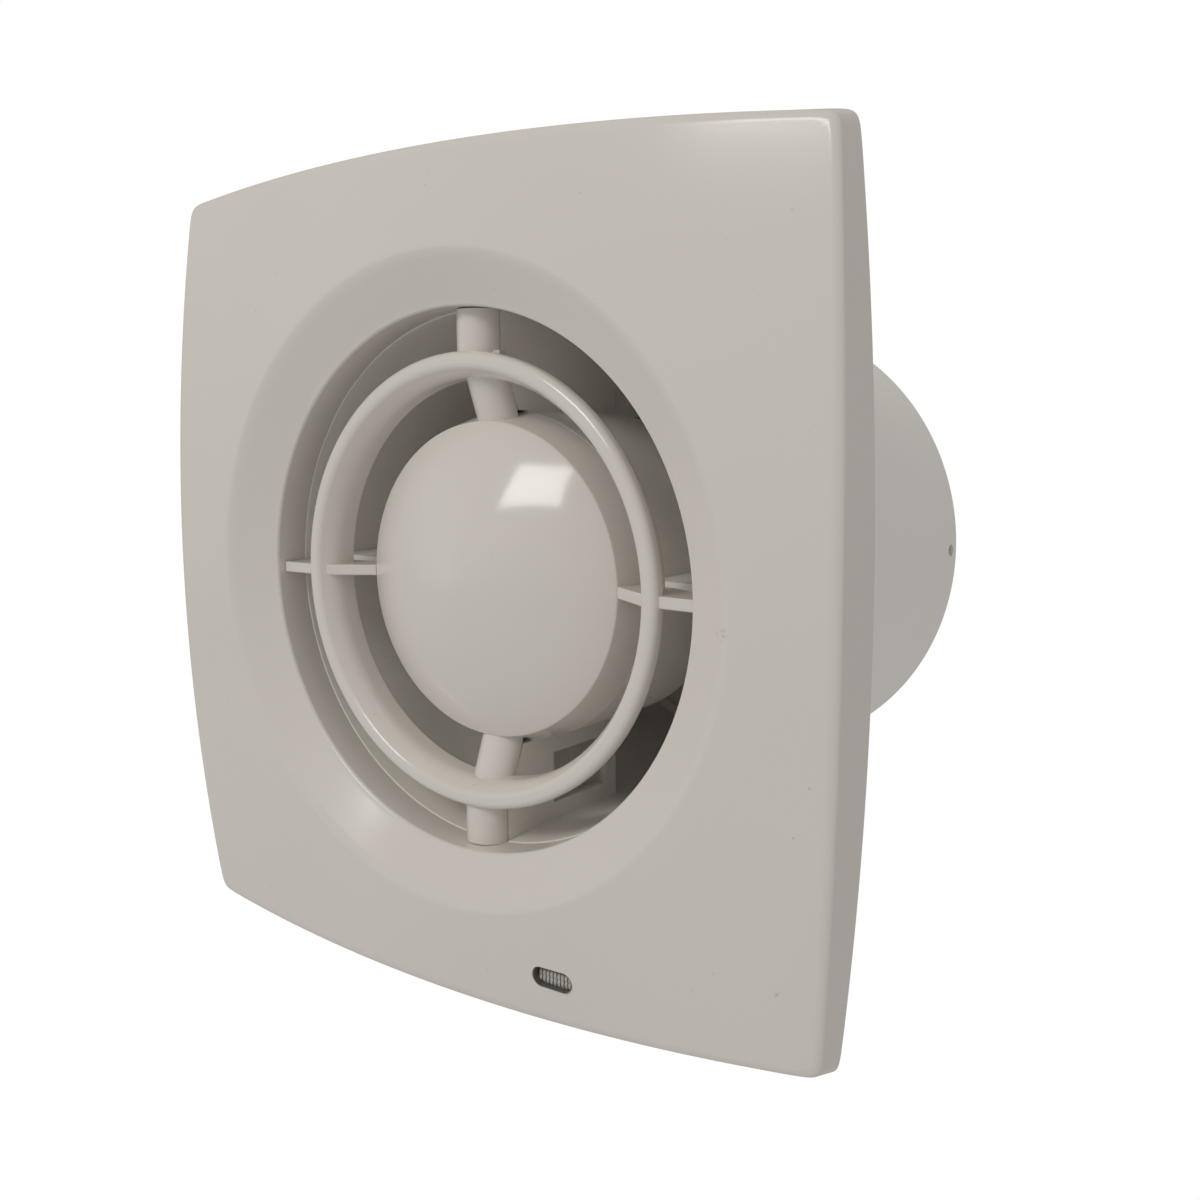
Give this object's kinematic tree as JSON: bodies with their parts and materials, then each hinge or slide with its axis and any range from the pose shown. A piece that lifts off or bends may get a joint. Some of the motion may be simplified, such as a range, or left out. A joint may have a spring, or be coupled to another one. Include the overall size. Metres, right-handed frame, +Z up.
{
  "type": "bathroom extractor fan",
  "caption": "Square wall-mounted extractor fan with a ring grille over a round inlet, a domed nose cap and a spigot with a back-draught shutter.",
  "frame": {"origin": "on the duct's axis, in the plane of the wall, where the casing's plate rests on the wall", "axes": "+Y into the wall along the duct, +X to the right and +Z up, seen from the room"},
  "size_m": [0.15, 0.109, 0.15],
  "materials": {
    "cover_plastic": "semi-gloss off-white moulded plastic",
    "casing_plastic": "fine satin off-white moulded plastic",
    "impeller_plastic": "satin off-white moulded plastic",
    "flap_plastic": "satin thin moulded plastic",
    "steel": "bright drawn or stamped steel",
    "laminations": "stacked blued steel sheets",
    "copper": "enamelled copper winding wire",
    "rotor_metal": "turned squirrel cage rotor",
    "bronze": "sintered bronze",
    "zinc_screw": "zinc plated steel",
    "clear_lens": "clear ribbed plastic",
    "neon_glass": "clear glass tube",
    "terminal_plastic": "satin white plastic",
    "grommet_rubber": "soft black rubber",
    "brown_lead": "brown PVC insulation",
    "blue_lead": "blue PVC insulation"
  },
  "bodies": {
    "casing": {"front_cover": "cover_plastic", "inlet_grille": "cover_plastic", "nose_cap": "cover_plastic", "indicator_lens": "clear_lens", "neon_lamp": "neon_glass", "cover_screw": "zinc_screw", "rear_casing": "casing_plastic", "motor_support": "casing_plastic", "motor_stator": "laminations", "stator_coil_1": "copper", "stator_coil_2": "copper", "stator_coil_3": "copper", "stator_coil_4": "copper", "front_bearing_bracket": "steel", "rear_bearing_bracket": "steel", "front_bearing_bush": "bronze", "rear_bearing_bush": "bronze", "motor_tie_screw_upper": "zinc_screw", "motor_tie_screw_lower": "zinc_screw", "shutter_pin": "steel", "shutter_spring": "steel", "terminal_block": "terminal_plastic", "terminal_screw_1": "zinc_screw", "terminal_screw_2": "zinc_screw", "terminal_screw_3": "zinc_screw", "cable_grommet": "grommet_rubber", "cable_clamp": "terminal_plastic", "clamp_screw_left": "zinc_screw", "clamp_screw_right": "zinc_screw", "live_lead": "brown_lead", "neutral_lead": "blue_lead"},
    "impeller": {"motor_rotor": "rotor_metal", "motor_shaft": "steel", "impeller": "impeller_plastic", "impeller_clip": "steel"},
    "upper_flap": {"shutter_flap_upper": "flap_plastic"},
    "lower_flap": {"shutter_flap_lower": "flap_plastic"}
  },
  "joints": [
    {"name": "impeller_spin", "type": "hinge", "parent": "casing", "child": "impeller", "pos_m": [0, 0, 0], "axis": [0, 1, 0], "continuous": true},
    {"name": "upper_flap_hinge", "type": "hinge", "parent": "casing", "child": "upper_flap", "pos_m": [0, 0.095, 0], "axis": [-1, 0, 0], "range_deg": [0, 80], "stiffness_Nm_per_rad": 0.002, "springref_deg": -57.3},
    {"name": "lower_flap_hinge", "type": "hinge", "parent": "casing", "child": "lower_flap", "pos_m": [0, 0.095, 0], "axis": [1, 0, 0], "range_deg": [0, 80], "stiffness_Nm_per_rad": 0.002, "springref_deg": -57.3}
  ]
}
